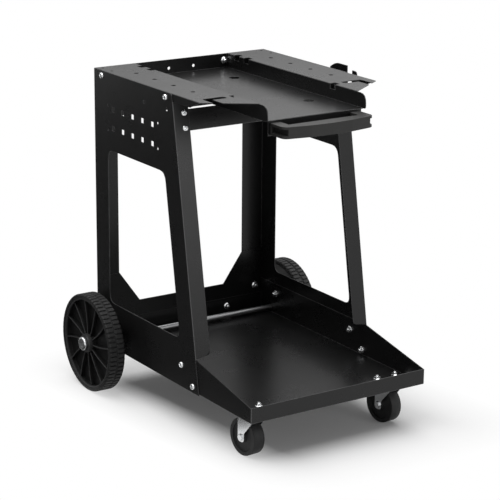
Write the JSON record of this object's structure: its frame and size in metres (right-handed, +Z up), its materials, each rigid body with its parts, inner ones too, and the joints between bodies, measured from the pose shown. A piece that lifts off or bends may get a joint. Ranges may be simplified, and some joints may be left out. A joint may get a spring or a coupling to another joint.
{
  "type": "welding cart",
  "caption": "Two-shelf welding cart of folded black sheet steel with slanted front legs, a moulded push handle, fixed rear wheels, swivel front casters and a torch hook.",
  "frame": {"origin": "on the floor, under the middle of the cart's overall box", "axes": "+Z up, -Y towards the handle and casters at the front, +X towards the side that carries the torch hook"},
  "size_m": [0.5216, 0.6284, 0.655],
  "materials": {
    "black_powder_coat": "semi-gloss powder coat",
    "black_plastic": "moulded satin",
    "tyre": "moulded tread",
    "caster_rubber": "smooth",
    "zinc_plate": "bright zinc plate"
  },
  "bodies": {
    "frame": {"left_side_panel": "black_powder_coat", "right_side_panel": "black_powder_coat", "top_tray": "black_powder_coat", "front_cross_plate": "black_powder_coat", "lower_tray": "black_powder_coat", "rear_panel": "black_powder_coat", "torch_hook": "black_powder_coat", "handle": "black_plastic", "axle": "zinc_plate", "left_axle_spacer": "zinc_plate", "right_axle_spacer": "zinc_plate", "left_hub_cap": "zinc_plate", "right_hub_cap": "zinc_plate", "left_caster_plate": "zinc_plate", "right_caster_plate": "zinc_plate", "left_caster_race": "zinc_plate", "right_caster_race": "zinc_plate", "left_caster_kingpin": "zinc_plate", "right_caster_kingpin": "zinc_plate", "left_caster_bolt_1": "zinc_plate", "left_caster_bolt_2": "zinc_plate", "left_caster_bolt_3": "zinc_plate", "left_caster_bolt_4": "zinc_plate", "right_caster_bolt_1": "zinc_plate", "right_caster_bolt_2": "zinc_plate", "right_caster_bolt_3": "zinc_plate", "right_caster_bolt_4": "zinc_plate", "left_top_bolt_rear": "zinc_plate", "left_top_bolt_front": "zinc_plate", "right_top_bolt_rear": "zinc_plate", "right_top_bolt_front": "zinc_plate", "left_tray_bolt_rear": "zinc_plate", "left_tray_bolt_middle": "zinc_plate", "left_tray_bolt_front": "zinc_plate", "right_tray_bolt_rear": "zinc_plate", "right_tray_bolt_middle": "zinc_plate", "right_tray_bolt_front": "zinc_plate", "left_cross_plate_bolt_upper": "zinc_plate", "left_cross_plate_bolt_lower": "zinc_plate", "right_cross_plate_bolt_upper": "zinc_plate", "right_cross_plate_bolt_lower": "zinc_plate", "left_rear_panel_bolt": "zinc_plate", "right_rear_panel_bolt": "zinc_plate", "left_tray_rear_bolt": "zinc_plate", "right_tray_rear_bolt": "zinc_plate", "handle_screw_left": "zinc_plate", "handle_screw_right": "zinc_plate", "hook_bolt_rear": "zinc_plate", "hook_bolt_front": "zinc_plate"},
    "left_rear_wheel": {"left_wheel": "black_plastic", "left_tyre": "tyre"},
    "right_rear_wheel": {"right_wheel": "black_plastic", "right_tyre": "tyre"},
    "left_caster_yoke": {"left_caster_fork": "zinc_plate", "left_caster_axle": "zinc_plate"},
    "right_caster_yoke": {"right_caster_fork": "zinc_plate", "right_caster_axle": "zinc_plate"},
    "left_caster_roller": {"left_caster_wheel": "caster_rubber"},
    "right_caster_roller": {"right_caster_wheel": "caster_rubber"}
  },
  "joints": [
    {"name": "left_wheel_spin", "type": "hinge", "parent": "frame", "child": "left_rear_wheel", "pos_m": [-0.232, 0.21425, 0.1], "axis": [1, 0, 0], "continuous": true},
    {"name": "right_wheel_spin", "type": "hinge", "parent": "frame", "child": "right_rear_wheel", "pos_m": [0.232, 0.21425, 0.1], "axis": [1, 0, 0], "continuous": true},
    {"name": "left_caster_swivel", "type": "hinge", "parent": "frame", "child": "left_caster_yoke", "pos_m": [-0.1585, -0.26825, 0.09], "axis": [0, 0, 1], "continuous": true},
    {"name": "right_caster_swivel", "type": "hinge", "parent": "frame", "child": "right_caster_yoke", "pos_m": [0.1585, -0.26825, 0.09], "axis": [0, 0, 1], "continuous": true},
    {"name": "left_caster_roll", "type": "hinge", "parent": "left_caster_yoke", "child": "left_caster_roller", "pos_m": [-0.16066, -0.24435, 0.0375], "axis": [0.996, 0.0899, 0], "continuous": true},
    {"name": "right_caster_roll", "type": "hinge", "parent": "right_caster_yoke", "child": "right_caster_roller", "pos_m": [0.15634, -0.24435, 0.0375], "axis": [0.996, 0.0899, 0], "continuous": true}
  ]
}
